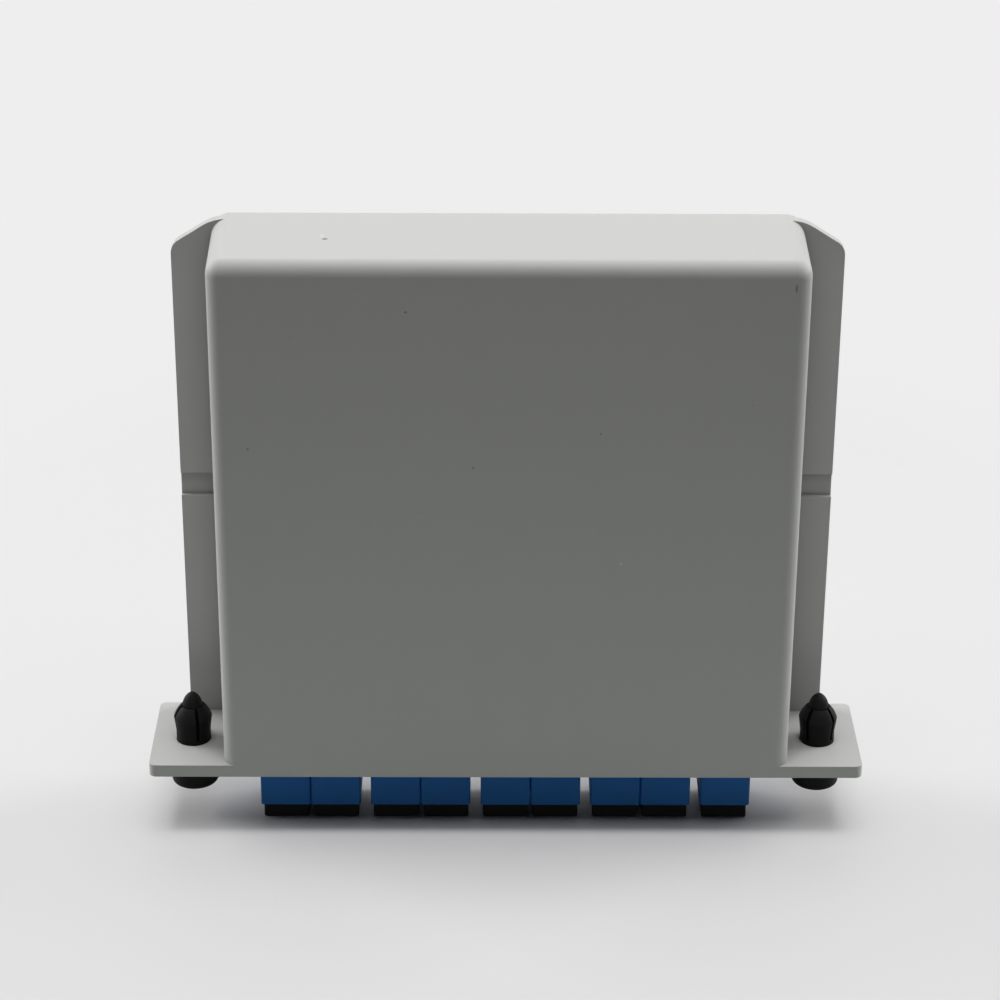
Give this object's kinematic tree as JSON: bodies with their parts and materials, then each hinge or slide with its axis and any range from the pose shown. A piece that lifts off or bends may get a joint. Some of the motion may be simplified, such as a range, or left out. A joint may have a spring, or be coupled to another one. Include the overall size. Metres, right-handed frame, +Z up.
{
  "type": "plug-in fibre splitter cassette",
  "caption": "Light grey plug-in cassette holding a planar fibre splitter, with a face plate of blue square ports, black dust caps, side guide flanges and black push-pull latches.",
  "frame": {"origin": "on the standing surface, at the middle of the face plate's length and thickness", "axes": "+X along the face plate towards the single port, +Y through the thickness from the closed broad face to the cover, +Z up from the ports to the end wall"},
  "size_m": [0.13, 0.0234, 0.1128],
  "materials": {
    "shell_plastic": "light grey moulded ABS, fine satin",
    "screw_steel": "zinc-plated",
    "adapter_plastic": "blue moulded, satin",
    "insert_plastic": "white moulded",
    "ceramic": "polished zirconia",
    "cap_plastic": "black soft plastic",
    "plug_plastic": "blue moulded",
    "boot_rubber": "white soft boot",
    "latch_nylon": "black nylon, satin",
    "module_steel": "satin stainless tube",
    "module_end_plastic": "black moulded",
    "fibre_buffer": "white tight buffer"
  },
  "bodies": {
    "cassette": {"housing": "shell_plastic", "cover": "shell_plastic", "cover_screws": "screw_steel", "adapter_1": "adapter_plastic", "adapter_2": "adapter_plastic", "adapter_3": "adapter_plastic", "adapter_4": "adapter_plastic", "adapter_5": "adapter_plastic", "adapter_6": "adapter_plastic", "adapter_7": "adapter_plastic", "adapter_8": "adapter_plastic", "adapter_9": "adapter_plastic", "port_insert_1": "insert_plastic", "port_insert_2": "insert_plastic", "port_insert_3": "insert_plastic", "port_insert_4": "insert_plastic", "port_insert_5": "insert_plastic", "port_insert_6": "insert_plastic", "port_insert_7": "insert_plastic", "port_insert_8": "insert_plastic", "port_insert_9": "insert_plastic", "split_sleeves": "ceramic", "plug_1": "plug_plastic", "plug_2": "plug_plastic", "plug_3": "plug_plastic", "plug_4": "plug_plastic", "plug_5": "plug_plastic", "plug_6": "plug_plastic", "plug_7": "plug_plastic", "plug_8": "plug_plastic", "plug_9": "plug_plastic", "ferrules": "ceramic", "plug_boots": "boot_rubber", "latch_grommet_left": "latch_nylon", "latch_grommet_right": "latch_nylon", "splitter_module": "module_steel", "module_input_end": "module_end_plastic", "module_output_end": "module_end_plastic", "pigtail_1": "fibre_buffer", "pigtail_2": "fibre_buffer", "pigtail_3": "fibre_buffer", "pigtail_4": "fibre_buffer", "pigtail_5": "fibre_buffer", "pigtail_6": "fibre_buffer", "pigtail_7": "fibre_buffer", "pigtail_8": "fibre_buffer", "pigtail_9": "fibre_buffer"},
    "cap_1": {"dust_cap_1": "cap_plastic"},
    "cap_2": {"dust_cap_2": "cap_plastic"},
    "cap_3": {"dust_cap_3": "cap_plastic"},
    "cap_4": {"dust_cap_4": "cap_plastic"},
    "cap_5": {"dust_cap_5": "cap_plastic"},
    "cap_6": {"dust_cap_6": "cap_plastic"},
    "cap_7": {"dust_cap_7": "cap_plastic"},
    "cap_8": {"dust_cap_8": "cap_plastic"},
    "cap_9": {"dust_cap_9": "cap_plastic"},
    "plunger_left": {"latch_plunger_left": "latch_nylon"},
    "plunger_right": {"latch_plunger_right": "latch_nylon"}
  },
  "joints": [
    {"name": "cap_1_pull", "type": "slide", "parent": "cassette", "child": "cap_1", "axis": [0, 0, -1], "range_m": [0, 0.012]},
    {"name": "cap_2_pull", "type": "slide", "parent": "cassette", "child": "cap_2", "axis": [0, 0, -1], "range_m": [0, 0.012]},
    {"name": "cap_3_pull", "type": "slide", "parent": "cassette", "child": "cap_3", "axis": [0, 0, -1], "range_m": [0, 0.012]},
    {"name": "cap_4_pull", "type": "slide", "parent": "cassette", "child": "cap_4", "axis": [0, 0, -1], "range_m": [0, 0.012]},
    {"name": "cap_5_pull", "type": "slide", "parent": "cassette", "child": "cap_5", "axis": [0, 0, -1], "range_m": [0, 0.012]},
    {"name": "cap_6_pull", "type": "slide", "parent": "cassette", "child": "cap_6", "axis": [0, 0, -1], "range_m": [0, 0.012]},
    {"name": "cap_7_pull", "type": "slide", "parent": "cassette", "child": "cap_7", "axis": [0, 0, -1], "range_m": [0, 0.012]},
    {"name": "cap_8_pull", "type": "slide", "parent": "cassette", "child": "cap_8", "axis": [0, 0, -1], "range_m": [0, 0.012]},
    {"name": "cap_9_pull", "type": "slide", "parent": "cassette", "child": "cap_9", "axis": [0, 0, -1], "range_m": [0, 0.012]},
    {"name": "plunger_left_pull", "type": "slide", "parent": "cassette", "child": "plunger_left", "axis": [0, 0, -1], "range_m": [0, 0.005]},
    {"name": "plunger_right_pull", "type": "slide", "parent": "cassette", "child": "plunger_right", "axis": [0, 0, -1], "range_m": [0, 0.005]}
  ]
}
